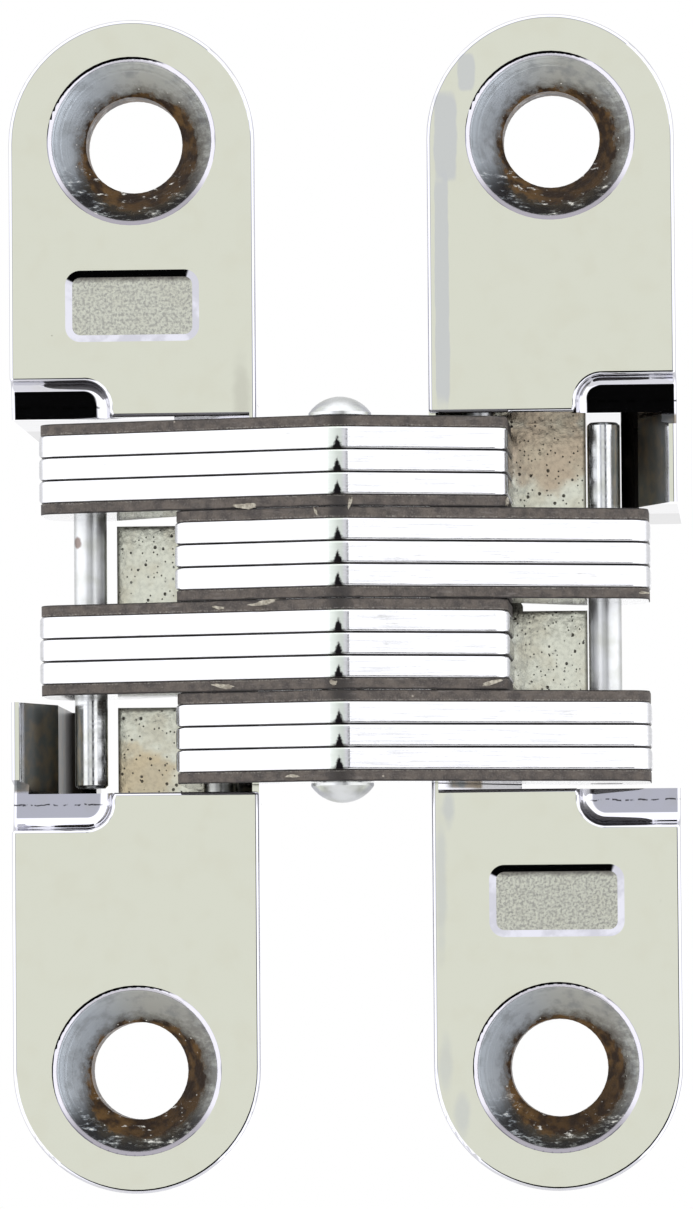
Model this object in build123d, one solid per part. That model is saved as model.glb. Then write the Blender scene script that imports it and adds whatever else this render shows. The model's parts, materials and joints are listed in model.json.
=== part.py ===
from build123d import *
from math import acos, atan2, cos, hypot, pi, radians, sin, tan
import os

# Faceplates: length along Z, width across X, faces toward -Y
LEAF_LENGTH = 60.3
LEAF_WIDTH = 12.7
LEAF_GAP = 8.85
LOBE_DEPTH = 4.0
RIM_RADIUS = 0.2
HALF_GAP = LEAF_GAP / 2
MIDDLE = LEAF_WIDTH / 2 + HALF_GAP

# Body behind each faceplate
BODY_LENGTH = 38.0
BODY_DEPTH = 17.0
BACK_EDGE = 0.4

# Countersunk screw holes
SCREW_INSET = 6.27
SCREW_SPACING = LEAF_LENGTH - 2 * SCREW_INSET
SCREW_HOLE = 5.0
SCREW_HEAD = 8.45
SCREW_CONE = 82.0
SCREW_RIM = 0.3

# Bare recessed panel on one lobe: height and foot as shares of the bare length between
# scoop and screw head, corner as a share of its height, sloping edge as a share of its corner
PANEL_LENGTH = 6.9
PANEL_SHARE = 0.46
PANEL_FOOT = 0.235
PANEL_DEPTH = 0.13
PANEL_ROUND = 0.21
PANEL_SLOPE = 0.46

# Motion: centre pin open and closed, slide pin open, share of the turn at a leaf
CENTRE_OPEN = (-HALF_GAP, -2.2)
CENTRE_CLOSED = (10.4, -0.8)
SLIDE_OPEN = (8.87, 3.5)
LEAF_SHARE = 0.54

# Pins
PIN_RADIUS = 0.85
CENTRE_PIN_RADIUS = 1.0
HEAD_RADIUS = 1.6
HEAD_HEIGHT = 1.0
HEAD_RIM = 0.15
RUNNING = 0.05

# Link packs: three links between two plates, four packs
LINK_THICK = 1.14
LINK_SPACE = 0.03
LINKS_IN_PACK = 3
PLATE_THICK = 0.57
PLATE_SPACE = 0.01
PACK_SPACE = 0.02
PLATE_INSET = 0.08
LINK_EDGE = 0.12
LINK_END_EDGE = 0.28
PLATE_EDGE = 0.05

# Link outline
ARM_SLOPE = 15.0
ELBOW_RADIUS = 1.9
END_RADIUS = 2.4
ROOT_RADIUS = 1.75
LONG_CORNER = 1.2
SHORT_CORNER = 0.9
KNEE_FROM_CENTRE = 4.75
HOOK_FILLET = 0.8

# Pocket in the body, distances across from the inner edge and deep from the face
POCKET_END = 9.65
SIDE_ROOM = 0.13
BLOCK_ROOM = 0.3
INNER_WALL = 0.35
INNER_WALL_TOP = 0.3
WALL_FOOT = 1.2
ARM_SHELF = (4.5, 3.75)
ARM_SHELF_LOW = 10.0
ARM_ROOM = 0.55
BLOCK_FACE = 7.75
BLOCK_EDGE = 7.85
BLOCK_CORNER = 0.6
SLOT_BEND = 9.6
SLOT_HEEL = 12.2
SLOT_ROOM = 0.19
SLOT_MOUTH_ROOM = 0.92
SLOT_BOW = 5.0
RIB_EDGE = 9.55
RIB_TOP = 14.1
CORNER_WALL = 0.4
CORNER_WALL_TOP = 0.35
SLOPE_LOW = 4.0
FAR_OUT = LEAF_WIDTH + 2.0
FAR_BACK = BODY_DEPTH + 2.0
FRONT = -2.0

# Scoops that take the centre pin heads when closed
SCOOP_LENGTH = 2.0
SCOOP_DEPTH = 1.15
SCOOP_TILT = 9.0
SCOOP_STRAIGHT = 8.9
SCOOP_ARC = 1.35
SCOOP_FLARE = 0.5
SCOOP_FLOOR_FILLET = 0.75
SCOOP_RIM = 0.18

# Pivot pin: blind end of its hole, its two ends
PIVOT_HOLE_END = 11.2
PIVOT_PIN_END = 11.1
PIVOT_OUTER_END = 16.0
PIN_EDGE = 0.15

PACK_THICK = (LINKS_IN_PACK * LINK_THICK + (LINKS_IN_PACK - 1) * LINK_SPACE
              + 2 * (PLATE_THICK + PLATE_SPACE))
PACK_PITCH = PACK_THICK + PACK_SPACE
BARE_START = POCKET_END + SCOOP_LENGTH
BARE_LENGTH = (SCREW_SPACING - SCREW_HEAD) / 2 - BARE_START
PANEL_HEIGHT = PANEL_SHARE * BARE_LENGTH
PANEL_CORNER = PANEL_ROUND * PANEL_HEIGHT
PANEL_EDGE = PANEL_SLOPE * PANEL_CORNER
PANEL_FROM_MIDDLE = BARE_START + PANEL_FOOT * BARE_LENGTH + PANEL_HEIGHT / 2
STACK_TOP = 2 * PACK_THICK + 1.5 * PACK_SPACE


def turned(vector, angle):
    c, s = cos(angle), sin(angle)
    return (vector[0] * c - vector[1] * s, vector[0] * s + vector[1] * c)


def fixed_pivot():
    """Point about which the centre pin turns from open to closed."""
    angle = LEAF_SHARE * pi
    mid = [(a + b) / 2 for a, b in zip(CENTRE_OPEN, CENTRE_CLOSED)]
    half = [(b - a) / 2 for a, b in zip(CENTRE_OPEN, CENTRE_CLOSED)]
    reach = 1 / tan(angle / 2)
    return (mid[0] - half[1] * reach, mid[1] + half[0] * reach)


PIVOT = fixed_pivot()


def slide_point(share):
    """Slide pin in its leaf after a share of the whole travel."""
    centre = turned((CENTRE_OPEN[0] - PIVOT[0], CENTRE_OPEN[1] - PIVOT[1]),
                    share * LEAF_SHARE * pi)
    arm = turned((SLIDE_OPEN[0] - CENTRE_OPEN[0], SLIDE_OPEN[1] - CENTRE_OPEN[1]),
                 share * (1 - LEAF_SHARE) * pi)
    return tuple(p + c + a for p, c, a in zip(PIVOT, centre, arm))


PATH_STEPS = 24
SLIDE_PATH = [slide_point(step / PATH_STEPS) for step in range(PATH_STEPS + 1)]
SLIDE_CLOSED = SLIDE_PATH[-1]


def at(across, deep):
    """Left leaf point: distance outward from its inner edge, depth from its face."""
    return (LEAF_WIDTH / 2 - across, deep)


def from_behind(deep):
    """Place of a sketch with distance across and height, raised toward the front."""
    return Plane(origin=(LEAF_WIDTH / 2, deep, 0), x_dir=(-1, 0, 0), z_dir=(0, -1, 0)).location


def leaf_prism(points, low, high):
    outline = Polyline(*[at(*p) for p in points], close=True)
    return Pos(0, 0, low) * extrude(make_face(outline), high - low)


def other_side(shape):
    """Half a turn about the hinge's middle, along the view."""
    return shape.rotate(Axis((MIDDLE, 0, 0), (0, 1, 0)), 180)


# Link outline, seen along the pins, the long arm toward the left leaf
def link_outline():
    slide = (SLIDE_OPEN[0] - CENTRE_OPEN[0], SLIDE_OPEN[1] - CENTRE_OPEN[1])
    root = (-(PIVOT[0] - CENTRE_OPEN[0]), PIVOT[1] - CENTRE_OPEN[1])
    slope = tan(radians(ARM_SLOPE))
    crest = -ELBOW_RADIUS / cos(radians(ARM_SLOPE))
    long_end = slide[0] + END_RADIUS
    short_end = root[0] - ROOT_RADIUS
    hook = root[0] + ROOT_RADIUS
    knee = (KNEE_FROM_CENTRE, ELBOW_RADIUS)

    # The underside runs from the knee tangent to the round end
    dx, dy = knee[0] - slide[0], knee[1] - slide[1]
    touch = atan2(dy, dx) - acos(END_RADIUS / hypot(dx, dy))
    tx, ty = slide[0] + END_RADIUS * cos(touch), slide[1] + END_RADIUS * sin(touch)
    low_y = knee[1] + (ty - knee[1]) * (long_end - knee[0]) / (tx - knee[0])

    corners = [
        ((0, crest), ELBOW_RADIUS),
        ((long_end, crest + long_end * slope), LONG_CORNER),
        ((long_end, low_y), END_RADIUS),
        (knee, HOOK_FILLET),
        ((hook, ELBOW_RADIUS), HOOK_FILLET),
        ((hook, root[1]), 0),
        ((short_end, root[1]), 0),
        ((short_end, crest - short_end * slope), SHORT_CORNER),
    ]
    placed = [((MIDDLE - p[0], CENTRE_OPEN[1] + p[1]), r) for p, r in corners]
    face = Sketch() + make_face(Polyline(*[p for p, r in placed], close=True))
    for point, radius in placed:
        if radius:
            near = face.vertices().sort_by_distance(Vector(*point, 0))[0]
            face = fillet(near, radius)
    return face + Pos(MIDDLE - root[0], CENTRE_OPEN[1] + root[1]) * Circle(ROOT_RADIUS)


OUTLINE = link_outline()
PLATE_OUTLINE = offset(OUTLINE, -PLATE_INSET)
CENTRE_AT = (MIDDLE, CENTRE_OPEN[1])
SLIDE_AT = at(*SLIDE_OPEN)
ROOT_AT = (MIDDLE + HALF_GAP + PIVOT[0], PIVOT[1])


def layer(outline, thick, low, edge, end_edge, centre_hole):
    body = extrude(outline, thick)
    body = fillet(body.edges().filter_by(GeomType.LINE).filter_by(Axis.Z, reverse=True)
                  + body.edges().filter_by(GeomType.CIRCLE), edge)
    if end_edge:
        # Seen from the front, the corners of both ends are rounded
        box = body.bounding_box()
        front = RectangleRounded(box.size.X, thick, end_edge)
        front = extrude(Plane.XZ * front, BODY_DEPTH, both=True)
        body &= Pos(box.center().X, 0, thick / 2) * front
    holes = ((CENTRE_AT, centre_hole), (SLIDE_AT, PIN_RADIUS), (ROOT_AT, PIN_RADIUS + RUNNING))
    for place, radius in holes:
        body -= Pos(*place, 0) * Cylinder(radius, 3 * thick)
    return Pos(0, 0, low) * body


def pack(top, centre_hole):
    """Plate, three links and plate, counted down from the top of the pack."""
    pieces = []
    level = top
    kinds = ["plate_top", "link_top", "link_middle", "link_low", "plate_low"]
    for number, kind in enumerate(kinds):
        is_plate = kind.startswith("plate")
        thick = PLATE_THICK if is_plate else LINK_THICK
        level -= thick
        outline = PLATE_OUTLINE if is_plate else OUTLINE
        edge, end_edge = (PLATE_EDGE, 0) if is_plate else (LINK_EDGE, LINK_END_EDGE)
        pieces.append((kind, layer(outline, thick, level, edge, end_edge, centre_hole)))
        between = number in (0, len(kinds) - 2)
        level -= PLATE_SPACE if between else LINK_SPACE
    return pieces


# Pocket in the left body, cut from z bands that match the packs
def scoop():
    """Step in the face at an outer corner, its floor tipped toward the pocket."""
    wall = POCKET_END - 0.5
    inner = SCOOP_STRAIGHT - SCOOP_ARC
    outline = Polyline((FAR_OUT, wall), (FAR_OUT, BARE_START), (inner, BARE_START), (inner, wall),
                       close=True)
    face = Sketch() + make_face(outline)
    corner = face.vertices().sort_by_distance(Vector(inner, BARE_START, 0))[0]
    face = fillet(corner, SCOOP_ARC)
    flare = Polyline((inner + 0.01, wall), (inner + 0.01, POCKET_END + SCOOP_FLARE),
                     (inner - SCOOP_FLARE, POCKET_END + SCOOP_FLARE),
                     (inner - SCOOP_FLARE, wall), close=True)
    flare = make_face(flare) - (
        Pos(inner - SCOOP_FLARE, POCKET_END + SCOOP_FLARE) * Circle(SCOOP_FLARE))
    solid = extrude(face, SCOOP_DEPTH + 1)
    floor = solid.faces().sort_by(Axis.Z)[0]
    rounded = [e for e in floor.edges() if e.center().Y > POCKET_END]
    solid = fillet([e for e in rounded if e.center().X < LEAF_WIDTH], SCOOP_FLOOR_FILLET)
    solid += extrude(flare, SCOOP_DEPTH + 1)
    # Sketch X is the distance across, sketch Y is height, extrusion comes out of the face
    tipped = Pos(0, POCKET_END, 0) * Rot(SCOOP_TILT, 0, 0) * Pos(0, -POCKET_END, 0)
    return from_behind(SCOOP_DEPTH) * tipped * solid


def capsule(length, depth):
    flat = Rot(0, 0, 90) * SlotOverall(length, LEAF_WIDTH)
    return Plane.XZ * extrude(flat, -depth)


def screw_cutter(height):
    cone_depth = (SCREW_HEAD - SCREW_HOLE) / 2 / tan(radians(SCREW_CONE / 2))
    profile = Polyline((0, -1), (SCREW_HEAD / 2, -1), (SCREW_HEAD / 2, 0),
                       (SCREW_HOLE / 2, cone_depth), (SCREW_HOLE / 2, LOBE_DEPTH + 1),
                       (0, LOBE_DEPTH + 1), close=True)
    cutter = revolve(make_face(profile), Axis.Y)
    return Pos(0, 0, height) * cutter


def corner_cutter(across, height, side, radius):
    """Rounds an outer corner seen from the front; side is +1 where the block lies below."""
    square = Pos(across - radius / 2, height - side * radius / 2) * Rectangle(radius, radius)
    round_off = Pos(across - radius, height - side * radius) * Circle(radius)
    cutter = extrude(square - round_off, FAR_BACK)
    return from_behind(FAR_BACK) * cutter


def left_leaf():
    plate = capsule(LEAF_LENGTH, LOBE_DEPTH)
    plate = fillet(plate.edges().group_by(Axis.Y)[0], RIM_RADIUS)
    block = capsule(BODY_LENGTH, BODY_DEPTH)
    block = fillet(block.edges().group_by(Axis.Y)[-1], BACK_EDGE)
    leaf = plate + (block - Box(2 * LEAF_WIDTH, LOBE_DEPTH, BODY_LENGTH + 2))

    # Bands of height where the long arms and the short arms run
    long_bands = [(PACK_PITCH - SIDE_ROOM, POCKET_END), (-PACK_PITCH - BLOCK_ROOM, SIDE_ROOM)]
    short_bands = [(-SIDE_ROOM, PACK_PITCH + SIDE_ROOM), (-POCKET_END, -PACK_PITCH + SIDE_ROOM)]
    arm_heel = (SLIDE_CLOSED[0] - END_RADIUS - ARM_ROOM, SLOT_HEEL)
    for low, high in long_bands:
        leaf -= leaf_prism([
            (INNER_WALL, FRONT), (INNER_WALL, INNER_WALL_TOP), ARM_SHELF,
            (ARM_SHELF[0], ARM_SHELF_LOW), arm_heel, (arm_heel[0], FAR_BACK),
            (FAR_OUT, FAR_BACK), (FAR_OUT, FRONT)], low, high)
    for low, high in short_bands:
        leaf -= leaf_prism([
            (-1, FRONT), (-1, INNER_WALL_TOP), (INNER_WALL, INNER_WALL_TOP),
            (INNER_WALL, BLOCK_FACE - WALL_FOOT), (INNER_WALL + WALL_FOOT, BLOCK_FACE),
            (BLOCK_EDGE + 1, BLOCK_FACE), (BLOCK_EDGE + 1, FRONT)], low, high)

    # Behind the short arms: open to the side above, a slot beside the corner block below
    heel = SLIDE_CLOSED[0] - PIN_RADIUS - SLOT_ROOM
    slot_side = [(BLOCK_EDGE, FRONT), (BLOCK_EDGE, SLOT_BEND), (heel, SLOT_HEEL), (heel, FAR_BACK)]
    leaf -= leaf_prism(slot_side + [(FAR_OUT, FAR_BACK), (FAR_OUT, FRONT)],
                       SIDE_ROOM / 2, PACK_PITCH - SIDE_ROOM / 2)
    slot_wall = max(p[0] for p in SLIDE_PATH) + PIN_RADIUS + SLOT_ROOM
    slot_mouth = SLIDE_OPEN[0] + PIN_RADIUS + SLOT_MOUTH_ROOM
    slope_top = LEAF_WIDTH - CORNER_WALL
    leaf -= leaf_prism(slot_side + [
        (RIB_EDGE, FAR_BACK), (RIB_EDGE, RIB_TOP), (slot_wall, RIB_TOP - (slot_wall - RIB_EDGE)),
        (slot_wall, SLOT_BOW), (slot_mouth, SLOPE_LOW), (slope_top, CORNER_WALL_TOP),
        (slope_top, FRONT)],
        -POCKET_END, -PACK_PITCH)

    # Rounded corners of the blocks, as seen from the front
    block_ends = [(BLOCK_EDGE, PACK_PITCH - SIDE_ROOM, 1), (BLOCK_EDGE, SIDE_ROOM, -1),
                  (BLOCK_EDGE, -PACK_PITCH - BLOCK_ROOM, 1),
                  (LEAF_WIDTH, -PACK_PITCH - BLOCK_ROOM, 1)]
    for across, height, side in block_ends:
        leaf -= corner_cutter(across, height, side, BLOCK_CORNER)

    step = scoop()
    leaf -= step
    leaf -= step.mirror(Plane.XY)
    for height in (SCREW_SPACING / 2, -SCREW_SPACING / 2):
        leaf -= screw_cutter(height)
    mouth = RectangleRounded(PANEL_LENGTH, PANEL_HEIGHT, PANEL_CORNER)
    ground = RectangleRounded(PANEL_LENGTH - 2 * PANEL_EDGE, PANEL_HEIGHT - 2 * PANEL_EDGE,
                              PANEL_CORNER - PANEL_EDGE)
    panel = loft([ground, Pos(0, 0, PANEL_DEPTH) * mouth], ruled=True)
    panel += Pos(0, 0, PANEL_DEPTH) * extrude(mouth, 1)
    leaf -= Pos(0, PANEL_DEPTH, PANEL_FROM_MIDDLE) * (Plane.XZ * panel)

    # Soft rims of the countersinks and the scoops
    front = leaf.edges().filter_by_position(Axis.Y, -0.001, 0.001)
    heads = [e for e in front.filter_by(GeomType.CIRCLE) if abs(e.radius - SCREW_HEAD / 2) < 0.01]
    leaf = fillet(heads, SCREW_RIM)
    front = leaf.edges().filter_by_position(Axis.Y, -0.001, 0.001)
    lips = [e for e in front if POCKET_END - 0.1 < abs(e.center().Z) < BARE_START + 0.1
            and e.center().X < LEAF_WIDTH / 2 - 1]
    leaf = fillet(lips, SCOOP_RIM)

    hole = Cylinder(PIN_RADIUS, PIVOT_HOLE_END + LEAF_LENGTH / 2,
                    align=(Align.CENTER, Align.CENTER, Align.MAX))
    leaf -= Pos(*at(*PIVOT), PIVOT_HOLE_END) * hole
    return leaf


def plain_pin(place, low, high):
    pin = Cylinder(PIN_RADIUS, high - low, align=(Align.CENTER, Align.CENTER, Align.MIN))
    pin = chamfer(pin.edges(), PIN_EDGE)
    return Pos(*place, low) * pin


def centre_pin():
    """Shank with a domed head at each end, turned about its own axis."""
    reach = STACK_TOP + RUNNING
    rim, tip = reach + HEAD_RIM, reach + HEAD_HEIGHT
    side = [(0, tip), (HEAD_RADIUS, rim), (HEAD_RADIUS, reach), (CENTRE_PIN_RADIUS, reach)]
    lower = [(r, -h) for r, h in reversed(side)]
    dome_radius = (HEAD_RADIUS ** 2 + (tip - rim) ** 2) / 2 / (tip - rim)
    dome = RadiusArc(side[1], side[0], -dome_radius)
    lower_dome = RadiusArc(lower[-1], lower[-2], -dome_radius)
    body = Polyline(*side[1:], *lower[:-1])
    axis = Line(lower[-1], side[0])
    profile = make_face(dome.edges() + body.edges() + lower_dome.edges() + axis.edges())
    return Pos(*CENTRE_AT, 0) * Rot(90, 0, 0) * revolve(profile, Axis.Y)


# The row's origin lies on the back of the lobes, where they rest on the wood
SEAT = Pos(0, -LOBE_DEPTH, 0)

parts = {}
parts["left_leaf"] = left_leaf()
parts["right_leaf"] = other_side(parts["left_leaf"])
parts["left_pivot_pin"] = plain_pin(at(*PIVOT), -PIVOT_OUTER_END, PIVOT_PIN_END)
parts["right_pivot_pin"] = other_side(parts["left_pivot_pin"])
parts["left_slide_pin"] = plain_pin(SLIDE_AT, -STACK_TOP, STACK_TOP)
parts["right_slide_pin"] = other_side(parts["left_slide_pin"])
parts["centre_pin"] = centre_pin()

# Packs one and three have the long arms in the left leaf, two and four in the right
FREE_HOLE = CENTRE_PIN_RADIUS + RUNNING
for name, other, top in (("pack_1", "pack_4", STACK_TOP), ("pack_3", "pack_2", -PACK_SPACE / 2)):
    for kind, piece in pack(top, FREE_HOLE):
        parts[name + "_" + kind] = piece
    flipped = {"top": "low", "low": "top", "middle": "middle"}
    for kind, piece in pack(top, CENTRE_PIN_RADIUS):
        sort, level = kind.split("_")
        parts[other + "_" + sort + "_" + flipped[level]] = other_side(piece)

os.makedirs("parts", exist_ok=True)
for name, shape in parts.items():
    shape = SEAT * shape
    export_step(shape, "parts/" + name + ".step")
    print(name, len(shape.solids()), shape.is_valid, round(shape.volume, 2))
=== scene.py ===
# %% [markdown]
# A concealed door hinge, dressed for its picture
#
# The real hinge is two die-cast leaves with a bright plating, joined by four packs of
# steel links that fold into the leaves when the door shuts. Its whole character is metal:
# flat faces that mirror one calm patch of the room, and narrow rounded edges that sweep
# across the rest of it. The exact solids come packed, so this script gives them finishes,
# adds the small marks of use, and builds the room that the metal mirrors.

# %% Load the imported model
import json
import math
import bmesh
import bpy
from mathutils import Matrix, Vector, noise as field

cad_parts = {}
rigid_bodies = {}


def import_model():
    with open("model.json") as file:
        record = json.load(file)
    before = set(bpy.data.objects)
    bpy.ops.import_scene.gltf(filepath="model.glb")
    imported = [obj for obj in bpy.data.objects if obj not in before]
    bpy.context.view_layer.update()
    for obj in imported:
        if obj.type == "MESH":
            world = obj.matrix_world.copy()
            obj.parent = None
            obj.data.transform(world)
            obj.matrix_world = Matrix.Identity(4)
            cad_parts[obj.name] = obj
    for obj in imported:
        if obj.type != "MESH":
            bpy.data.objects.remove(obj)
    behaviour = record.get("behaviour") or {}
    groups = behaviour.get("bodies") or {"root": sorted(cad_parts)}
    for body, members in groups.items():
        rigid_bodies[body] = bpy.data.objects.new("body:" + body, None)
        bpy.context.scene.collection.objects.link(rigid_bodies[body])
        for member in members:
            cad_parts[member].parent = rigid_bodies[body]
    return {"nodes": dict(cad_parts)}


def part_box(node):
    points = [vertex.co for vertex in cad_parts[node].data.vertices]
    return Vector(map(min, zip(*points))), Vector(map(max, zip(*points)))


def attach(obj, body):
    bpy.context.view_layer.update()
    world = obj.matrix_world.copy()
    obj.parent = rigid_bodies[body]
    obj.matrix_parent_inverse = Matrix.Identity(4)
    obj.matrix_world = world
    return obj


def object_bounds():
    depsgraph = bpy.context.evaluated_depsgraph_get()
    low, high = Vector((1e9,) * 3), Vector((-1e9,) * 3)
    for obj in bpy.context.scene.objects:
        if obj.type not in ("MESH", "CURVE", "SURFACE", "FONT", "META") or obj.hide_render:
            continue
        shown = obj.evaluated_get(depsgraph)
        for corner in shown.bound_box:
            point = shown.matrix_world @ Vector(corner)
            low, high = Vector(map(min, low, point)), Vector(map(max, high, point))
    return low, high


for spare in list(bpy.data.objects):
    bpy.data.objects.remove(spare)
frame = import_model()
cad_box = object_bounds()
nodes = frame["nodes"]
MM = 0.001
print("loaded", len(nodes), "nodes, box in mm", [[round(v / MM, 2) for v in p] for p in cad_box])

# %% [markdown]
# Where things are
#
# Every finish below is placed by measures that belong to the hinge: the plane of its faces,
# the middle of each leaf, the pitch of its packs and links. They are read from the solids, so
# they follow the model if it changes.

# %% Measures read from the solids
leaf_low, leaf_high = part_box("left_leaf")
FACE_Y = leaf_low.y / MM
LEFT_X = (leaf_low.x + leaf_high.x) / 2 / MM
RIGHT_X = sum(corner.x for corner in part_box("right_leaf")) / 2 / MM
MIDDLE_X = (LEFT_X + RIGHT_X) / 2


def low_high(node):
    """Lowest and highest Z of a node, in millimetres."""
    return [corner.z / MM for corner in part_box(node)]


PACK_LOW = low_high("pack_1_plate_low")[0]
PACK_PITCH = low_high("pack_1_link_top")[0] - low_high("pack_2_link_top")[0]
LINK_LOW = low_high("pack_1_link_low")[0]
LINK_PITCH = low_high("pack_1_link_middle")[0] - LINK_LOW
print("faces at y", round(FACE_Y, 3), "leaf middles at x", round(LEFT_X, 3), round(RIGHT_X, 3))
print("packs every", round(PACK_PITCH, 3), "links every", round(LINK_PITCH, 3), "mm")

# %% [markdown]
# Tones and nodes
#
# A shader wants light in linear values, and the eye reads a picture in others, so one small
# function turns the one into the other. A second makes a node with its inputs filled in, and
# a third blends two tones. The sockets of a Mix node share their names, so they are told
# apart by number, and the numbers get names here.

# %% Helpers for tones and nodes
SHARE, FIRST_NUMBER, SECOND_NUMBER, FIRST_TONE, SECOND_TONE = 0, 2, 3, 6, 7


def linear(red, green, blue):
    """A tone given as the eye reads it, 0 to 255, in the linear values a shader wants."""
    def channel(value):
        value /= 255
        return value / 12.92 if value <= 0.04045 else ((value + 0.055) / 1.055) ** 2.4
    return (channel(red), channel(green), channel(blue), 1.0)


def add_node(tree, kind, inputs=(), **settings):
    """A new node, with each input linked to a socket or set to a value."""
    made = tree.nodes.new(kind)
    for key, value in settings.items():
        setattr(made, key, value)
    for key, value in dict(inputs).items():
        if isinstance(value, bpy.types.NodeSocket):
            tree.links.new(value, made.inputs[key])
        else:
            made.inputs[key].default_value = value
    return made


def mix_tones(tree, share, first, second):
    """The first tone where the share is 0, the second where it is 1."""
    return add_node(tree, "ShaderNodeMix", {SHARE: share, FIRST_TONE: first, SECOND_TONE: second},
                    data_type="RGBA").outputs[2]


print("a middle grey of 128 is", round(linear(128, 128, 128)[0], 3), "in linear light")

# %% [markdown]
# A small vocabulary for materials
#
# A finish is a tree of nodes. Wiring each one by hand hides the idea under the plumbing, so
# this class offers the few moves that the finishes need: a number from a position, a soft
# step between two limits, a noise, a coat of one tone over another, and a bump. Positions are
# Object coordinates in millimetres, which stay with the metal when a leaf turns.

# %% The Finish class
class Finish:
    def __init__(self, name):
        self.material = bpy.data.materials.new(name)
        self.material.use_nodes = True
        self.tree = self.material.node_tree
        self.shader = self.tree.nodes["Principled BSDF"]
        place = self.add("ShaderNodeTexCoord").outputs["Object"]
        self.mm = self.add("ShaderNodeVectorMath", {0: place, "Scale": 1 / MM},
                           operation="SCALE").outputs[0]
        self.x, self.y, self.z = self.add("ShaderNodeSeparateXYZ", {0: self.mm}).outputs

    def add(self, kind, inputs=(), **settings):
        return add_node(self.tree, kind, inputs, **settings)

    def maths(self, operation, *values):
        return self.add("ShaderNodeMath", enumerate(values), operation=operation).outputs[0]

    def times(self, *values):
        """All the values multiplied together."""
        product = values[0]
        for value in values[1:]:
            product = self.maths("MULTIPLY", product, value)
        return product

    def away(self, value, middle):
        """How far a value lies from a middle one, to either side."""
        return self.maths("ABSOLUTE", self.maths("SUBTRACT", value, middle))

    def swing(self, noise, much):
        """A noise about one half, made to swing about nothing and as far as asked."""
        return self.times(self.maths("SUBTRACT", noise, 0.5), much)

    def step(self, value, start, end, low=0.0, high=1.0):
        """From low to high, softly, while value goes from start to end."""
        return self.add("ShaderNodeMapRange", {
            "Value": value, "From Min": start, "From Max": end, "To Min": low, "To Max": high,
        }, interpolation_type="SMOOTHSTEP").outputs[0]

    def facing(self, axis):
        """How squarely the surface faces along an axis of the resting hinge, 0 to 1."""
        normal = self.add("ShaderNodeTexCoord").outputs["Normal"]
        return self.maths("ABSOLUTE", self.add("ShaderNodeSeparateXYZ", {0: normal}).outputs[axis])

    def row(self, value, start, pitch):
        """Height above the foot of the nearest pack or link below, in a row of them."""
        return self.maths("FLOORED_MODULO", self.maths("SUBTRACT", value, start), pitch)

    def stretched(self, x, y, z):
        """The position, with its axes scaled, for streaks and grain."""
        return self.add("ShaderNodeMapping", {"Vector": self.mm, "Scale": (x, y, z)},
                        vector_type="POINT").outputs[0]

    def noise(self, scale, detail=2.0, vector=None, roughness=0.5):
        return self.add("ShaderNodeTexNoise", {
            "Vector": vector or self.mm, "Scale": scale, "Detail": detail,
            "Roughness": roughness}).outputs["Fac"]

    def specks(self, scale, size, share):
        """1 inside scattered round specks of that size in mm, in a share of the cells."""
        cells = self.add("ShaderNodeTexVoronoi", {"Vector": self.mm, "Scale": scale})
        cell_number = self.add("ShaderNodeSeparateColor", {0: cells.outputs["Color"]}).outputs[0]
        near = self.step(cells.outputs["Distance"], size * scale, size * scale * 0.5)
        return self.times(near, self.step(cell_number, share, share * 0.8))

    def patch(self, x, z, wide, tall, soft, square, wavy, wobble):
        """1 inside a wavy patch on the front, with its middle and half sizes in mm. A square of
        2 makes it an oval, and more than that squares its corners."""
        parts = [self.maths("POWER", self.maths("DIVIDE", self.away(value, middle), half), square)
                 for value, middle, half in ((self.x, x, wide), (self.z, z, tall))]
        far = self.maths("POWER", self.maths("ADD", *parts), 1 / square)
        far = self.maths("ADD", far, self.swing(wobble, wavy))
        return self.step(far, 1 + soft, 1 - soft)

    def blend(self, share, first, second):
        return mix_tones(self.tree, share, first, second)

    def coat(self, share, tone):
        """Lay a tone over the colour so far, with 1 for a coat that hides it."""
        self.colour = self.blend(share, self.colour, tone)

    def number(self, share, first, second):
        return self.add("ShaderNodeMix", {SHARE: share, FIRST_NUMBER: first,
                                          SECOND_NUMBER: second}).outputs[0]

    def bump(self, height, depth_mm, normal=None):
        inputs = {"Height": height, "Distance": depth_mm * MM, "Strength": 1.0}
        if normal:
            inputs["Normal"] = normal
        return self.add("ShaderNodeBump", inputs).outputs[0]

    def set(self, **sockets):
        for name, value in sockets.items():
            socket = self.shader.inputs[name.replace("_", " ")]
            if isinstance(value, bpy.types.NodeSocket):
                self.tree.links.new(value, socket)
            else:
                socket.default_value = value
        return self.material


# %% [markdown]
# The plated casting
#
# On the real hinge each leaf is one zinc casting: polished and plated on its faces and rims,
# turned bright in the countersinks, with a painted blue reflection on their left, bare and
# brown where the drill broke through, and pitted down in the pocket. One material can hold all
# four, because each has its own place: depth below the face and distance from the nearer screw
# hole tell them apart.
# Separate materials would need the leaf cut into faces, which a imported solid doesn't allow.
# This class measures those places. Its first coat is the plating, a pale warm grey where it
# faces forward and more neutral round the edges, with the marks that belong to one leaf.

# %% Places on a casting, and its plating
SCREW_HEIGHT = 23.88
OVAL = 2


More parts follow.
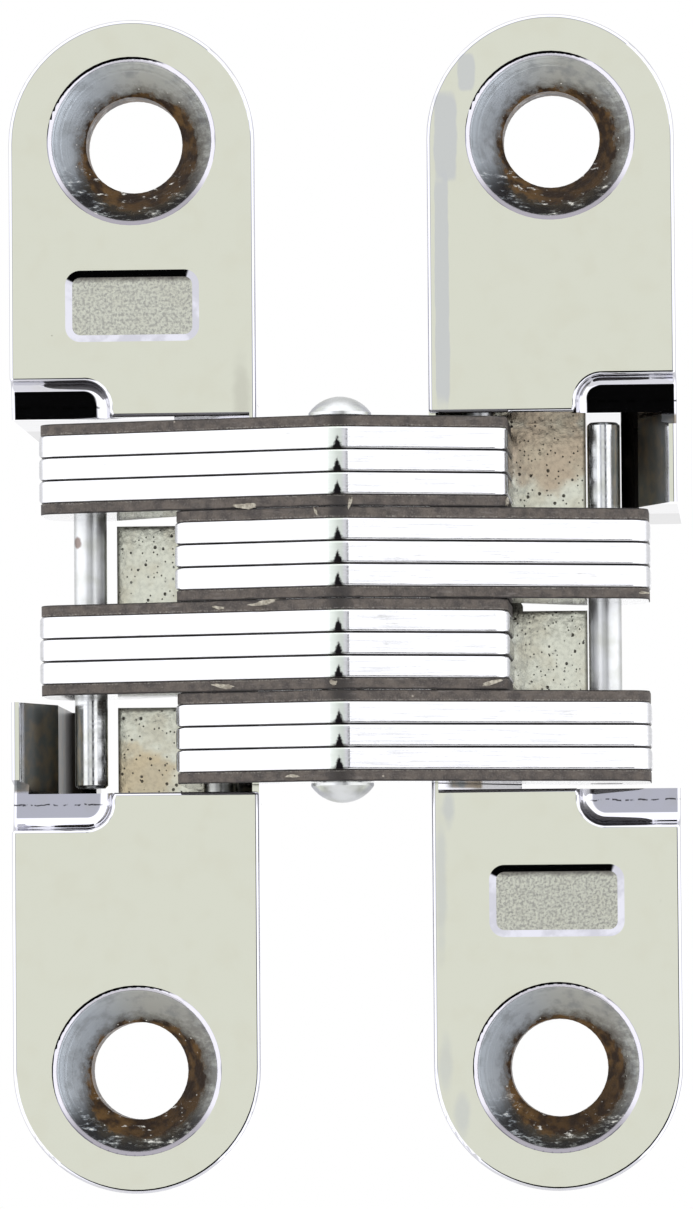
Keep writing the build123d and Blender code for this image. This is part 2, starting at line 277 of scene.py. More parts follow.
class Casting(Finish):
    def __init__(self, name, middle_x):
        super().__init__(name)
        self.depth = self.maths("SUBTRACT", self.y, FACE_Y)
        self.across = self.maths("SUBTRACT", self.x, middle_x)
        self.outward = self.times(self.across, 1 if middle_x > MIDDLE_X else -1)
        self.aside = self.maths("ABSOLUTE", self.across)
        self.height = self.maths("ABSOLUTE", self.z)
        self.upper = self.maths("SIGN", self.z)
        self.along = self.maths("SUBTRACT", self.z, self.times(self.upper, SCREW_HEIGHT))
        self.radius = self.maths("SQRT", self.maths(
            "ADD", self.times(self.across, self.across), self.times(self.along, self.along)))
        self.coarse, self.wobble = self.noise(0.7, 3), self.noise(0.9, 3)
        self.front = self.step(self.facing("Y"), 0.99, 0.998)
        self.curved = self.maths("SUBTRACT", 1.0, self.front)

    def plate(self, marks):
        self.colour = self.blend(self.front, linear(222, 222, 228), linear(216, 218, 204))
        self.coat(self.step(self.coarse, 0.45, 0.75, 0.0, 0.2), linear(208, 206, 187))
        for mark in marks:
            shape = self.patch(*mark["at"], mark["soft"], mark.get("square", OVAL),
                               mark.get("wavy", 1.2), self.wobble)
            self.coat(self.times(shape, self.step(self.depth, *mark["deep"]), mark["much"]),
                      mark["tone"])


print("screw holes at", SCREW_HEIGHT, "mm above and below the middle")

# %% [markdown]
# The countersinks
#
# The seat of each screw is a turned cone. It is cloudier than the face, with a painted reflection
# that makes it bluer on its left, and painted shade makes it darker to the right and nearly black
# where it is lowest. It has a bare brown ring round the hole. A full mirror would show one hard
# crescent of the tent there, so the cone is made half metal and its shades are painted by
# direction round the hole, each with a ragged edge from a noise.

# %% The countersink coats
HOLE_RADIUS, HEAD_RADIUS = 2.5, 4.4


def countersinks(paint):
    """Coats of the cones. Gives where the cone, its bare ring and its painted glints lie."""
    cone = paint.times(paint.step(paint.radius, HEAD_RADIUS + 0.02, HEAD_RADIUS - 0.1),
                       paint.step(paint.depth, 0.05, 0.15))
    right = paint.maths("DIVIDE", paint.across, paint.radius)
    up = paint.maths("DIVIDE", paint.along, paint.radius)
    # Painted reflection and shade: bluer to the left, darker to the right, nearly black low down
    cone_and_reflection = paint.blend(paint.step(right, 0.2, -0.8), linear(214, 216, 208),
                         linear(208, 217, 226))
    clouds = paint.step(paint.noise(1.1, 4, roughness=0.6), 0.46, 0.7, 0.0, 0.55)
    paint.coat(cone, paint.blend(clouds, cone_and_reflection, linear(158, 163, 166)))
    streaks = paint.noise(1.0, 5, paint.stretched(1.2, 1.0, 3.4), 0.72)
    low = paint.step(up, -0.25, -0.75)
    painted_low_shade = paint.times(low, cone, paint.step(streaks, 0.66, 0.5), 0.96)
    paint.coat(painted_low_shade, linear(26, 22, 23))
    shade = paint.times(paint.step(right, 0.45, 0.95), cone, paint.step(streaks, 0.3, 0.6), 0.55)
    paint.coat(shade, linear(92, 84, 84))

    # The bare ring, with smoke round its ragged edge. Its brown is the metal's own, but painted
    # shade makes it widest and darkest low and to the right.
    lean = paint.maths("SUBTRACT", paint.times(right, 0.62), paint.times(up, 0.78))
    ring = paint.step(lean, -0.9, 1, HOLE_RADIUS + 0.12, HOLE_RADIUS + 1.0)
    rough = paint.swing(paint.noise(1.6, 5, roughness=0.7), 1.2)
    ragged = paint.maths("SUBTRACT", paint.maths("ADD", paint.radius, rough), ring)
    bare = paint.times(paint.step(ragged, 0.16, -0.12), paint.step(paint.depth, 0.4, 0.9),
                       paint.step(paint.radius, HEAD_RADIUS, HEAD_RADIUS - 0.3))
    paint.coat(paint.times(paint.step(ragged, 0.55, 0.0), cone, 0.6), linear(96, 88, 74))
    rust = paint.blend(paint.step(paint.noise(1.5, 4), 0.38, 0.62), linear(48, 32, 16),
                       linear(110, 82, 44))
    paint.coat(bare, paint.blend(paint.step(lean, 0.3, 0.95, 0.0, 0.6), rust,
                                 linear(40, 27, 15)))

    # The rounded rim, with painted shade that darkens it at the bottom
    rim = paint.times(paint.step(paint.radius, HEAD_RADIUS + 0.1, HEAD_RADIUS + 0.05),
                      paint.curved, paint.step(paint.depth, 0.16, 0.1))
    paint.coat(paint.times(rim, 0.9), paint.blend(
        paint.step(up, -0.35, -0.75), linear(206, 204, 211), linear(134, 130, 136)))

    # Painted glints: highlights along the ragged edge and between the dark painted streaks
    edge = paint.times(paint.specks(3.4, 0.05, 0.3),
                       paint.step(paint.maths("ABSOLUTE", ragged), 0.45, 0.1))
    painted_glints = paint.maths("MAXIMUM", edge, paint.times(low, paint.step(streaks, 0.6, 0.66)))
    painted_glints = paint.times(painted_glints, cone)
    paint.coat(painted_glints, linear(240, 238, 230))
    return cone, bare, painted_glints


print("countersinks", 2 * HEAD_RADIUS, "mm across, holes", 2 * HOLE_RADIUS, "mm")

# %% [markdown]
# The pocket
#
# The links fold into a deep pocket. Its walls are bright but see only the dark between them, so
# they carry painted shade, darkest deep down, and the corner block carries a painted dark
# reflection. The tops of its blocks keep the pitted skin of the casting, with painted shadow in
# their corners. Noise alone looks like cloud, so the pits are specks of two sizes, each in its own
# share of a grid of cells.

# %% The pocket coats
POCKET_HALF, POCKET_WIDE = 9.65, 6.32
BLOCK_NEAR, BLOCK_FAR = 7.0, 8.3
BLOCK_SIDE, CORNER_BLOCK = 1.5, 3.75


def pocket(paint, block_tops):
    """Coats of the pocket. Gives where the corner block, the block tops and the pits lie."""
    within = paint.step(paint.aside, POCKET_WIDE + 0.02, POCKET_WIDE - 0.02)
    inside = paint.times(paint.step(paint.depth, 1.5, 2.0),
                         paint.step(paint.height, POCKET_HALF + 0.1, POCKET_HALF - 0.05), within)
    tops = paint.times(within, paint.front, paint.step(paint.depth, BLOCK_NEAR, BLOCK_NEAR + 0.3),
                       paint.step(paint.depth, BLOCK_FAR, BLOCK_FAR - 0.3),
                       paint.step(paint.height, POCKET_HALF + 0.7, POCKET_HALF + 0.6))
    wall = paint.times(inside, paint.maths("SUBTRACT", 1.0, tops))
    corner = paint.times(paint.step(paint.aside, CORNER_BLOCK, CORNER_BLOCK + 0.2),
                         paint.step(paint.height, POCKET_HALF, POCKET_HALF - 0.2),
                         paint.step(paint.depth, 0.5, 0.9), paint.step(paint.front, 0.6, 0.3),
                         paint.step(paint.facing("Z"), 0.6, 0.4), within)
    pits = paint.times(paint.maths("MAXIMUM", paint.specks(2.2, 0.1, 0.5),
                                   paint.specks(5.0, 0.05, 0.35)), tops)
    # Painted shade on the walls, and a painted dark reflection in grey and brown blotches on the
    # corner block
    paint.coat(paint.times(wall, 0.75), linear(150, 150, 148))
    paint.coat(paint.times(corner, 0.9), paint.blend(
        paint.step(paint.noise(1.2, 3), 0.4, 0.7), linear(108, 112, 110), linear(142, 130, 110)))
    paint.coat(paint.times(tops, paint.step(paint.coarse, 0.4, 0.7, 0.0, 0.45)),
               linear(190, 184, 164))
    paint.coat(paint.times(pits, 0.9), linear(58, 52, 42))

    # Painted shadow along the outer side and the upper end of each block
    painted_block_shadow = paint.times(paint.step(paint.outward, BLOCK_SIDE - 0.22, BLOCK_SIDE - 0.04),
                         paint.step(paint.outward, BLOCK_SIDE + 0.1, BLOCK_SIDE))
    for top in block_tops:
        below = paint.maths("ADD", paint.maths("SUBTRACT", top, paint.z),
                            paint.times(paint.noise(3.0, 3), 0.3))
        painted_block_shadow = paint.maths("MAXIMUM", painted_block_shadow, paint.times(
            paint.step(below, 0.4, 0.2), paint.step(below, -0.5, -0.1)))
    paint.coat(paint.times(painted_block_shadow, tops, 0.8), linear(52, 48, 42))
    # Painted shade deep in the pocket, away from its middle
    deep = paint.times(wall, paint.step(paint.depth, 8.5, 9.0), paint.step(paint.aside, 1.7, 2.0))
    paint.coat(paint.times(deep, 0.9), linear(66, 62, 58))
    return corner, tops, pits


print("pocket", 2 * POCKET_HALF, "mm tall, block tops", BLOCK_NEAR, "to", BLOCK_FAR, "mm down")

# %% [markdown]
# Scoops and sunk panels
#
# The head of the centre pin shuts into a scoop beside each pocket, and the plating has
# chipped along the step of it: a thin line that wavers by one noise and is broken into dashes
# by another. Each leaf also has one sunk panel. The die leaves fine grain on its floor, and
# the floor is darker under its upper edge, where less of the tent reaches it.

# %% The chips and the panel coats
STEP_HIGH, CHIPPED = 11.6, 10.35
PANEL_HALF_WIDE = 3.45
PANEL_LOW, PANEL_HIGH = 13.53, 17.21


def chips(paint):
    step = paint.times(paint.step(paint.depth, 0.5, 0.8), paint.step(paint.depth, 2.4, 2.2),
                       paint.step(paint.aside, 1.6, 2.0),
                       paint.step(paint.height, STEP_HIGH, STEP_HIGH - 0.1),
                       paint.step(paint.height, POCKET_HALF + 0.1, POCKET_HALF + 0.2))
    dashes = paint.step(paint.noise(1.0, 3, paint.stretched(2.2, 1.0, 0.6), 0.6), 0.44, 0.52)
    waver = paint.maths("ADD", paint.height, paint.times(paint.noise(2.0, 3), 0.25))
    line = paint.step(paint.away(waver, CHIPPED), 0.06, 0.02)
    paint.coat(paint.times(step, line, dashes, 0.9), linear(46, 44, 48))


def sunk_panel(paint):
    """Coats of the panel. Gives where its floor lies, and the grain of it."""
    floor = paint.times(paint.step(paint.depth, 0.09, 0.12), paint.step(paint.depth, 0.3, 0.2),
                        paint.front, paint.step(paint.aside, PANEL_HALF_WIDE, PANEL_HALF_WIDE - 0.1),
                        paint.step(paint.height, PANEL_HIGH, PANEL_HIGH - 0.1),
                        paint.step(paint.height, PANEL_LOW, PANEL_LOW + 0.1))
    grain = paint.noise(7.0, 3, roughness=0.6)
    paint.coat(paint.times(floor, paint.step(grain, 0.4, 0.65, 0.0, 0.9)), linear(168, 168, 162))
    upper_edge = paint.maths("ADD", (PANEL_HIGH - PANEL_LOW) / 2,
                             paint.times(paint.upper, (PANEL_LOW + PANEL_HIGH) / 2))
    under = paint.maths("ADD", paint.maths("SUBTRACT", upper_edge, paint.z),
                        paint.times(paint.noise(2.6, 4), 0.3))
    paint.coat(paint.times(floor, paint.step(under, 0.85, 0.5), 0.8), linear(84, 78, 76))
    slope = paint.times(paint.curved, paint.step(paint.depth, 0.3, 0.2),
                        paint.step(paint.aside, PANEL_HALF_WIDE + 0.1, PANEL_HALF_WIDE + 0.05),
                        paint.step(paint.height, PANEL_HIGH + 0.1, PANEL_HIGH + 0.05),
                        paint.step(paint.height, PANEL_LOW - 0.1, PANEL_LOW - 0.05))
    paint.coat(slope, paint.blend(paint.step(paint.wobble, 0.4, 0.6), linear(196, 196, 203),
                                  linear(178, 178, 184)))
    return floor, grain


print("sunk panels", 2 * PANEL_HALF_WIDE, "by", round(PANEL_HIGH - PANEL_LOW, 2), "mm")

# %% [markdown]
# Gloss and relief of the casting
#
# The coats come together here. The rims and faces are near mirrors, the cones are satin, and
# bare metal and block tops are dull. The relief is small on purpose: turning rings in the
# cones, grit on the bare ring, grain in the panel, a pitted skin down in the pocket, and one
# slow wave over everything, because no cast face mirrors a room without a bend.

# %% The whole casting finish
def casting(name, middle_x, marks, block_tops):
    paint = Casting(name, middle_x)
    paint.plate(marks)
    cone, bare, painted_glints = countersinks(paint)
    corner, tops, pits = pocket(paint, block_tops)
    paint.coat(paint.times(paint.specks(0.45, 0.035, 0.5), paint.front), linear(120, 118, 106))
    chips(paint)
    floor, grain = sunk_panel(paint)

    fine = paint.noise(5.0, 4)
    gloss = paint.number(paint.front, 0.05, 0.075)
    for place, rough in ((cone, 0.22), (corner, 0.3), (floor, 0.2), (bare, 0.4),
                         (tops, paint.step(fine, 0.3, 0.7, 0.12, 0.24))):
        gloss = paint.number(place, gloss, rough)
    metal = paint.number(cone, 1.0, 0.5)
    metal = paint.number(paint.maths("MAXIMUM", paint.times(bare, 0.4), painted_glints), metal, 0.0)

    turning = paint.add("ShaderNodeTexNoise", {"W": paint.radius, "Scale": 9.0, "Detail": 2.0},
                        noise_dimensions="1D").outputs["Fac"]
    skin = paint.maths("SUBTRACT", paint.noise(2.6, 4), paint.times(pits, 0.8))
    normal = paint.bump(paint.noise(0.5, 1), 0.004)
    for height, depth_mm in ((paint.times(turning, cone), 0.006), (paint.swing(fine, bare), 0.03),
                             (paint.times(grain, floor), 0.012), (paint.times(skin, tops), 0.014)):
        normal = paint.bump(height, depth_mm, normal)
    return paint.set(Base_Color=paint.colour, Metallic=metal, Roughness=gloss, Normal=normal)


# %% [markdown]
# Marks that belong to one leaf
#
# The photographed hinge has been handled: a blue-grey film runs down the inner side of one
# upper lobe, and the block tops carry tan marks. Each is a soft patch on the casting, given by
# its middle, its half width and half height in millimetres, how soft its edge is, the depths
# between which it comes in, and how strong it is. The film is straight, so its patches have
# square corners and waver less.

# %% Marks and the two castings
ON_FACE = (0.12, 0.02)
ON_BLOCK = (6.5, 7.2)
TAN, FILM, SMEAR = linear(196, 180, 148), linear(196, 199, 202), linear(186, 190, 196)
left_marks = [
    {"at": (LEFT_X - 0.6, -8.6, 2.1, 1.5), "soft": 0.25, "deep": ON_BLOCK, "much": 0.85,
     "tone": TAN},
    {"at": (LEFT_X + 5.6, 10.9, 0.45, 1.5), "soft": 0.5, "deep": ON_FACE, "much": 0.5,
     "tone": linear(188, 188, 176)},
]
right_marks = [
    {"at": (RIGHT_X - 5.6, 15.9, 0.36, 6.1), "soft": 0.1, "deep": ON_FACE, "much": 0.8,
     "tone": FILM, "square": 7, "wavy": 0.4},
    {"at": (RIGHT_X - 5.37, 23.9, 0.58, 2.2), "soft": 0.1, "deep": ON_FACE, "much": 0.8,
     "tone": FILM, "square": 7, "wavy": 0.4},
    {"at": (RIGHT_X - 4.27, 27.2, 0.42, 0.9), "soft": 0.15, "deep": ON_FACE, "much": 0.75,
     "tone": FILM, "square": 4, "wavy": 0.6},
    {"at": (RIGHT_X - 0.4, 8.1, 2.8, 1.9), "soft": 0.3, "deep": ON_BLOCK, "much": 0.8,
     "tone": linear(178, 158, 134)},
    {"at": (RIGHT_X - 5.5, -10.6, 0.3, 0.9), "soft": 0.5, "deep": ON_FACE, "much": 0.5,
     "tone": SMEAR},
    {"at": (RIGHT_X - 5.9, -14.4, 0.25, 3.0), "soft": 0.6, "deep": ON_FACE, "much": 0.4,
     "tone": SMEAR},
    {"at": (RIGHT_X - 5.75, -23.6, 0.3, 1.2), "soft": 0.6, "deep": ON_FACE, "much": 0.35,
     "tone": SMEAR},
    {"at": (RIGHT_X - 4.9, -26.3, 0.35, 1.0), "soft": 0.5, "deep": ON_FACE, "much": 0.4,
     "tone": SMEAR},
]
LEFT_BLOCK_TOPS = (4.5, -5.0)
RIGHT_BLOCK_TOPS = (9.95, -0.15)


def dress(node, material):
    mesh = nodes[node].data
    mesh.materials.clear()
    mesh.materials.append(material)


dress("left_leaf", casting("casting_left", LEFT_X, left_marks, LEFT_BLOCK_TOPS))
dress("right_leaf", casting("casting_right", RIGHT_X, right_marks, RIGHT_BLOCK_TOPS))
print("castings finished, with", len(left_marks) + len(right_marks), "marks")

# %% [markdown]
# The steel links
#
# The links are stamped from strip and plated nearly white. What shows is their sheared edge,
# so its grain runs along the link, with a few dull rubs. At the crest, which faces the lens, each
# link has a pale green-grey band of painted shading and a dark spire of painted reflection that
# rises from each seam. The height above the foot of a link comes back in every link, so one
# finish serves all twelve.

# %% The link finish
def link_steel():
    paint = Finish("link_steel")
    grain = paint.noise(1.0, 3, paint.stretched(0.35, 1.0, 9.0))
    rubs = paint.noise(1.0, 4, paint.stretched(0.5, 0.5, 2.2), 0.6)
    paint.colour = paint.blend(paint.step(grain, 0.3, 0.75), linear(238, 238, 240),
                               linear(226, 227, 228))
    paint.coat(paint.step(rubs, 0.6, 0.78, 0.0, 0.6), linear(188, 188, 184))

    # Painted shading on the crest, and over it the dark spire and foot of painted reflection
    bend = paint.times(paint.step(paint.x, MIDDLE_X - 0.85, MIDDLE_X - 0.3),
                       paint.step(paint.x, MIDDLE_X + 0.35, MIDDLE_X + 0.1))
    paint.coat(paint.times(bend, 0.8), linear(226, 234, 222))
    in_pack = paint.row(paint.z, PACK_LOW, PACK_PITCH)
    in_link = paint.row(in_pack, LINK_LOW - PACK_LOW, LINK_PITCH)
    aside = paint.maths("ADD", paint.away(paint.x, MIDDLE_X - 0.05),
                        paint.swing(paint.noise(6.0, 4, roughness=0.7), 0.34))
    dark_reflection = paint.maths("SUBTRACT", aside, paint.step(in_link, 0.0, 0.8, 0.22, 0.0))
    dark_reflection = paint.times(paint.step(dark_reflection, 0.06, -0.06), paint.step(in_link, 0.8, 0.55))
    foot = paint.times(paint.step(aside, 0.55, 0.1), paint.step(in_link, 0.2, 0.06))
    paint.coat(paint.maths("MAXIMUM", dark_reflection, foot), linear(30, 28, 30))

    # The rounded edges turn into the seam between two links, which is dark and dull
    upright = paint.facing("Z")
    seam = paint.times(paint.step(upright, 0.5, 0.85), paint.step(upright, 1.0, 0.97))
    paint.coat(paint.times(seam, 0.92), linear(70, 65, 62))
    crest = paint.step(paint.away(paint.x, MIDDLE_X - 0.1), 0.6, 0.35)
    gloss = paint.number(crest, paint.step(grain, 0.25, 0.8, 0.15, 0.27), 0.42)
    gloss = paint.number(seam, gloss, 0.5)
    normal = paint.bump(paint.noise(3.0, 3), 0.004, paint.bump(grain, 0.006))
    return paint.set(Base_Color=paint.colour, Metallic=1.0, Roughness=gloss, Normal=normal)


link_finish = link_steel()
print("link finish with", len(link_finish.node_tree.nodes), "nodes")

# %% [markdown]
# The friction plates
#
# Between the packs lie dark plates with no shine. Up close they are a warm grey fibre, full of
# paler flecks, with rubbed edges, nicks and a dark seam where two packs meet. Two noises of
# different size and scattered specks keep the grey alive at any distance. The rubbed sides
# are smooth, which a thin clear coat shows better than a glossier fibre would.

# %% The plate finish
def plate_fibre():
    paint = Finish("plate_fibre")
    cloud = paint.noise(1.8, 4, roughness=0.6)
    grit = paint.noise(13.0, 3, roughness=0.7)
    scrape = paint.noise(1.0, 4, paint.stretched(0.8, 2.0, 5.0), 0.6)
    paint.colour = paint.blend(paint.step(cloud, 0.3, 0.7), linear(66, 60, 57),
                               linear(106, 98, 91))
    paint.coat(paint.step(scrape, 0.55, 0.8, 0.0, 0.6), linear(138, 132, 128))
    paint.coat(paint.step(grit, 0.5, 0.75, 0.0, 0.5), linear(136, 130, 124))
    paint.coat(paint.step(grit, 0.42, 0.25, 0.0, 0.6), linear(40, 36, 34))
    paint.coat(paint.specks(1.4, 0.08, 0.3), linear(170, 162, 150))
    # Painted shade darkens the plates along the crest
    crest = paint.step(paint.away(paint.x, MIDDLE_X), 0.9, 0.1)
    paint.coat(paint.times(crest, 0.8), linear(36, 33, 32))

    # The dark seam where two packs meet, and nicks on the other edge of each plate
    half = paint.maths("ADD", paint.away(paint.row(paint.z, PACK_LOW, PACK_PITCH), PACK_PITCH / 2),
                       paint.swing(paint.noise(1.0, 4, paint.stretched(1.0, 1.0, 0.4), 0.7), 0.2))
    seam = paint.step(half, PACK_PITCH / 2 - 0.1, PACK_PITCH / 2 - 0.05)
    paint.coat(paint.times(seam, 0.85), linear(30, 27, 26))
    nicks = paint.times(paint.step(half, PACK_PITCH / 2 - 0.48, PACK_PITCH / 2 - 0.54),
                        paint.step(grit, 0.45, 0.6))
    paint.coat(paint.times(nicks, 0.6), linear(170, 166, 158))

    rubbed = paint.step(paint.facing("Z"), 0.93, 0.98)
    gloss = paint.number(rubbed, paint.step(cloud, 0.3, 0.7, 0.6, 0.85), 0.1)
    normal = paint.bump(cloud, 0.08, paint.bump(grit, 0.03))
    return paint.set(Base_Color=paint.colour, Roughness=gloss, Coat_Weight=rubbed,
                     Coat_Roughness=0.08, Normal=normal)


plate_finish = plate_fibre()
print("plate finish with", len(plate_finish.node_tree.nodes), "nodes")

# %% [markdown]
# The pins
#
# Pins are drawn wire: a smooth bright steel with very fine rings round it, which stretch each
# reflection along the pin. The heads of the centre pin were upset with a hammer tool and are a
# little duller, and so is the middle of each long pin, where the packs rub it. One slide pin
# has a small brown stain.

# %% The pin finish
STAIN_X, STAIN_Z = -3.14, 3.4


def pin_steel():
    paint = Finish("pin_steel")
    rings = paint.noise(1.0, 2, paint.stretched(0.4, 0.4, 6.0))
    height = paint.maths("ABSOLUTE", paint.z)
    head = paint.step(height, PACK_LOW + PACK_PITCH - 0.1, PACK_LOW + PACK_PITCH)
    worn = paint.step(height, PACK_LOW + 0.2, PACK_LOW)
    paint.colour = paint.blend(paint.step(paint.noise(0.8, 3), 0.4, 0.7), linear(222, 224, 224),
                               linear(204, 206, 200))
    stain = paint.patch(STAIN_X, STAIN_Z, 0.2, 0.3, 0.3, OVAL, 0.8, paint.noise(3.0, 3))
    paint.coat(paint.times(stain, 0.8), linear(116, 92, 80))
    gloss = paint.number(worn, paint.step(rings, 0.3, 0.7, 0.12, 0.24), 0.34)
    gloss = paint.number(head, gloss, 0.3)
    return paint.set(Base_Color=paint.colour, Metallic=1.0, Roughness=gloss,
                     Normal=paint.bump(rings, 0.004))


pin_finish = pin_steel()
dressed = 0
FINISHES = (("_link_", link_finish), ("_plate_", plate_finish), ("_pin", pin_finish))
for node in nodes:
    for word, finish in FINISHES:
        if word in node:
            dress(node, finish)
            dressed += 1
print(dressed, "links, plates and pins finished")

# %% [markdown]
# Dried grease
#
# Where two packs rub, their grease has crept out and dried in pale crumbs on the front edges
# of the plates. A crumb is a small ball, drawn out along the plate and pushed about by a
# noise, so no two are alike. Each is set on the plate by a ray sent in from the front, which
# finds the metal whatever its slope.

# %% Crumbs on the plates
CRUMB_THICK = 0.07
RAY_START = 20


def crumb_finish():
    paint = Finish("dried_grease")
    colour = paint.blend(paint.step(paint.noise(6.0, 4), 0.35, 0.65), linear(150, 142, 128),
                         linear(206, 200, 184))
    return paint.set(Base_Color=colour, Roughness=0.55,
                     Normal=paint.bump(paint.noise(12.0, 3), 0.03))


def crumb(name, plate, body, x, share, wide, tall, lean):
    low, high = low_high(plate)
    z = low + share * (high - low)
    start = Vector((x, FACE_Y - RAY_START, z)) * MM
    found, spot, _, _ = nodes[plate].ray_cast(start, (0, 1, 0))
    if not found:
        raise ValueError(name + " misses its plate")
    shape = bmesh.new()
    bmesh.ops.create_icosphere(shape, subdivisions=4, radius=1.0)
    for vert in shape.verts:
        along, out, up = vert.co
        rough = field.fractal(vert.co * 2.3 + Vector((x, z, wide)), 0.8, 2.0, 4)
        swell = 1 + 0.5 * rough
        bend = 0.35 * math.sin(3 * along + x)
        vert.co = Vector((along * wide / 2 * (1 + 0.12 * rough), out * CRUMB_THICK * swell,
                          (up * swell + bend) * tall / 2)) * MM
    bmesh.ops.rotate(shape, verts=shape.verts, matrix=Matrix.Rotation(math.radians(lean), 3, "Y"))
    bmesh.ops.translate(shape, verts=shape.verts, vec=spot)
    mesh = bpy.data.meshes.new(name)
    shape.to_mesh(mesh)
    shape.free()
    for face in mesh.polygons:
        face.use_smooth = True
    piece = bpy.data.objects.new(name, mesh)
    bpy.context.scene.collection.objects.link(piece)
    mesh.materials.append(grease_finish)
    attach(piece, body)


grease_finish = crumb_finish()
CRUMBS = [
    # plate, body, x, height as a share of the plate, width, height, lean in degrees
    ("pack_1_plate_low", "links_b", 6.3, 0.22, 1.9, 0.24, 2),
    ("pack_1_plate_low", "links_b", 11.35, 0.3, 0.2, 0.5, 12),
    ("pack_2_plate_top", "links_a", 9.6, 0.55, 0.16, 0.36, -14),
    ("pack_1_plate_low", "links_b", 19.2, 0.45, 0.3, 0.42, 0),
    ("pack_3_plate_top", "links_b", 7.2, 0.75, 2.2, 0.2, -5),
    ("pack_3_plate_top", "links_b", 4.6, 0.4, 0.8, 0.14, 3),
    ("pack_3_plate_low", "links_b", 5.0, 0.5, 1.7, 0.2, 3),
    ("pack_3_plate_low", "links_b", 10.45, 0.6, 0.4, 0.24, 0),
    ("pack_3_plate_low", "links_b", 18.2, 0.55, 1.6, 0.2, -8),
    ("pack_2_plate_low", "links_a", 26.0, 0.5, 0.9, 0.12, 0),
    ("pack_4_plate_low", "links_a", 8.4, 0.5, 0.9, 0.14, 0),
]
for number, row in enumerate(CRUMBS, 1):
    crumb("grease_crumb_" + str(number), *row)
print(len(CRUMBS), "crumbs of grease")

# %% [markdown]
# The room that the metal mirrors
#
# Polished metal has no look of its own: it shows the room. The picture was taken in a white
# tent with the lens in a gap of it. A flat face mirrors the tent round the lens, evenly. A
# face tipped a few degrees up or left meets the grey of the tent's folds, and one tipped down
# or right meets the dark gap. Those few degrees make every fine line on the rims. The tent is
# written into the world as soft discs round given directions, laid over one another, each
# with a tone. Rays from the camera see plain white, and matt surfaces are lit by one even
# tone.

# %% The world
def toward(right, up):
    """The direction that many degrees right of and above straight forward of the faces."""
    right, up = math.radians(right), math.radians(up)
    return Vector((math.sin(right) * math.cos(up), -math.cos(right) * math.cos(up),
                   math.sin(up)))


BEHIND = (0.8, 0.8, 0.82, 1)
EVEN = (0.95, 0.95, 0.96, 1)
WHITE = (1, 1, 1, 1)
DISCS = [
    # right, up, full within, gone beyond, tone
    (0, 0, 95, 125, (1.5, 1.5, 1.55, 1)),
    (-2, 5, 19, 26, (0.60, 0.61, 0.67, 1)),
    (2, -26, 16, 22, (0.002, 0.002, 0.002, 1)),
    (20, -24, 14, 20, (0.002, 0.002, 0.002, 1)),
    (15, -3, 7, 10.5, (0.01, 0.01, 0.012, 1)),
    (-3, 3.5, 8.5, 11.5, (1.0, 1.0, 1.0, 1)),
    (180, 0, 8, 15, (1.12, 1.12, 1.13, 1)),
]

world = bpy.data.worlds.new("tent")
bpy.context.scene.world = world
world.use_nodes = True
tree = world.node_tree
tree.nodes.clear()
direction = add_node(tree, "ShaderNodeTexCoord").outputs["Generated"]
tone = BEHIND
for right, up, full, gone, colour in DISCS:
    facing = add_node(tree, "ShaderNodeVectorMath", {0: direction, 1: toward(right, up)},
                      operation="DOT_PRODUCT").outputs["Value"]
    inside = add_node(tree, "ShaderNodeMapRange", {
        "Value": facing, "From Min": math.cos(math.radians(gone)),
        "From Max": math.cos(math.radians(full))}, interpolation_type="SMOOTHSTEP").outputs[0]
    tone = mix_tones(tree, inside, tone, colour)
path = add_node(tree, "ShaderNodeLightPath").outputs
tone = mix_tones(tree, path["Is Diffuse Ray"], tone, EVEN)
plain = add_node(tree, "ShaderNodeMath", {0: path["Is Camera Ray"], 1: path["Is Transmission Ray"]},
                 operation="MAXIMUM").outputs[0]
tone = mix_tones(tree, plain, tone, WHITE)
light = add_node(tree, "ShaderNodeBackground", {"Color": tone, "Strength": 1.0})
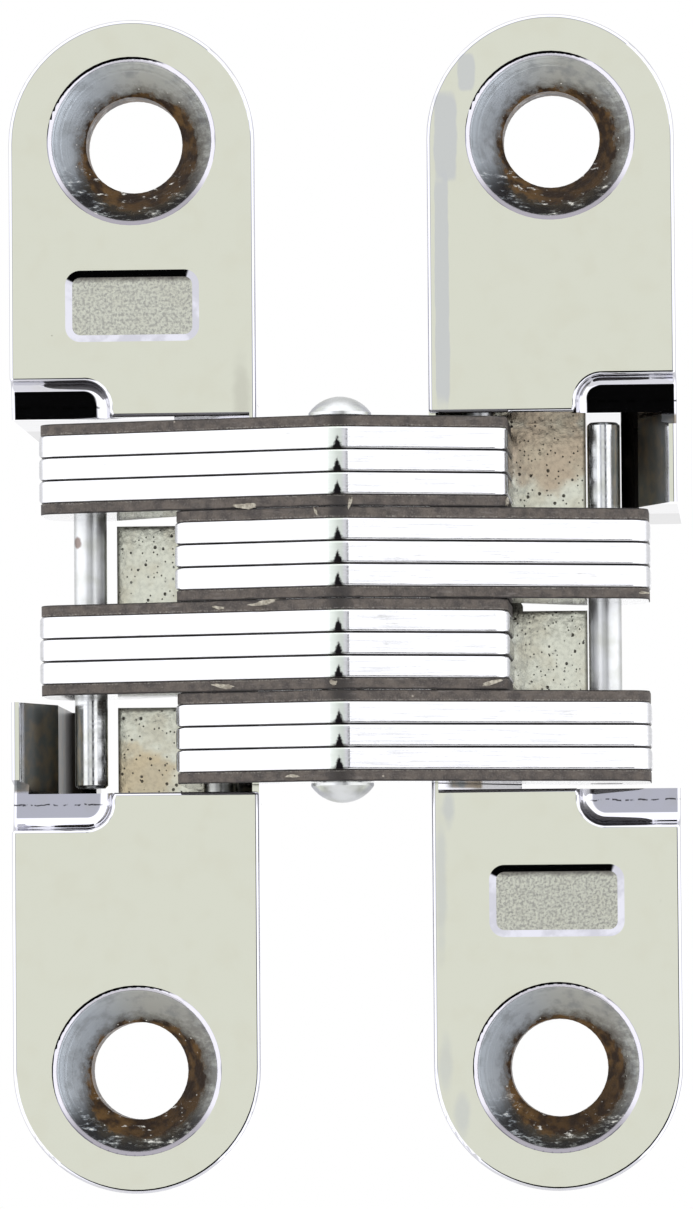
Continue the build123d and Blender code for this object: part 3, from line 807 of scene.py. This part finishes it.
tree.links.new(light.outputs[0], add_node(tree, "ShaderNodeOutputWorld").inputs["Surface"])
print("tent with", len(DISCS), "discs")

# %% [markdown]
# The floor
#
# The hinge hangs clear of a pale table top, as it did for its picture. The table is out of the
# frame. It matters only when the hinge is seen from above, where it closes the tent.

# %% A pale table top below
FLOOR_DROP = 0.30
FLOOR_RADIUS = 0.32
table_mesh = bpy.data.meshes.new("table")
shape = bmesh.new()
bmesh.ops.create_circle(shape, cap_ends=True, segments=96, radius=FLOOR_RADIUS)
bmesh.ops.translate(shape, verts=shape.verts,
                    vec=(MIDDLE_X * MM, 0, cad_box[0].z - FLOOR_DROP))
shape.to_mesh(table_mesh)
shape.free()
table = bpy.data.objects.new("table", table_mesh)
bpy.context.scene.collection.objects.link(table)
table_paint = bpy.data.materials.new("table_white")
table_paint.use_nodes = True
table_paint.node_tree.nodes["Principled BSDF"].inputs["Base Color"].default_value = (
    0.92, 0.92, 0.92, 1)
table_mesh.materials.append(table_paint)
print("table top", round(FLOOR_DROP / MM), "mm below the hinge")

# %% [markdown]
# The camera
#
# The picture was taken from about forty centimetres, a little to the right of the hinge and a
# little below its middle: the deeper a part lies, the more it shifts that way. A camera that
# far off needs a long lens, here counted from the height that the picture covers.

# %% The camera
PICTURE_HEIGHT = 61.9
SENSOR = 36.0
AIM = Vector((10.92, FACE_Y, -0.13))
STAND = Vector((33.7, FACE_Y - 410.0, -24.0))
ROLL = -0.44
camera = bpy.data.objects.new("camera", bpy.data.cameras.new("camera"))
bpy.context.scene.collection.objects.link(camera)
camera.location = STAND * MM
level = (AIM - STAND).to_track_quat("-Z", "Y").to_matrix()
camera.rotation_euler = (level @ Matrix.Rotation(math.radians(ROLL), 3, "Z")).to_euler()
camera.data.sensor_width = SENSOR
camera.data.lens = SENSOR * (AIM - STAND).length / PICTURE_HEIGHT
camera.data.clip_start, camera.data.clip_end = 0.01, 10.0
bpy.context.scene.camera = camera
bpy.context.scene.view_settings.view_transform = "Standard"
print("lens", round(camera.data.lens, 1), "mm")
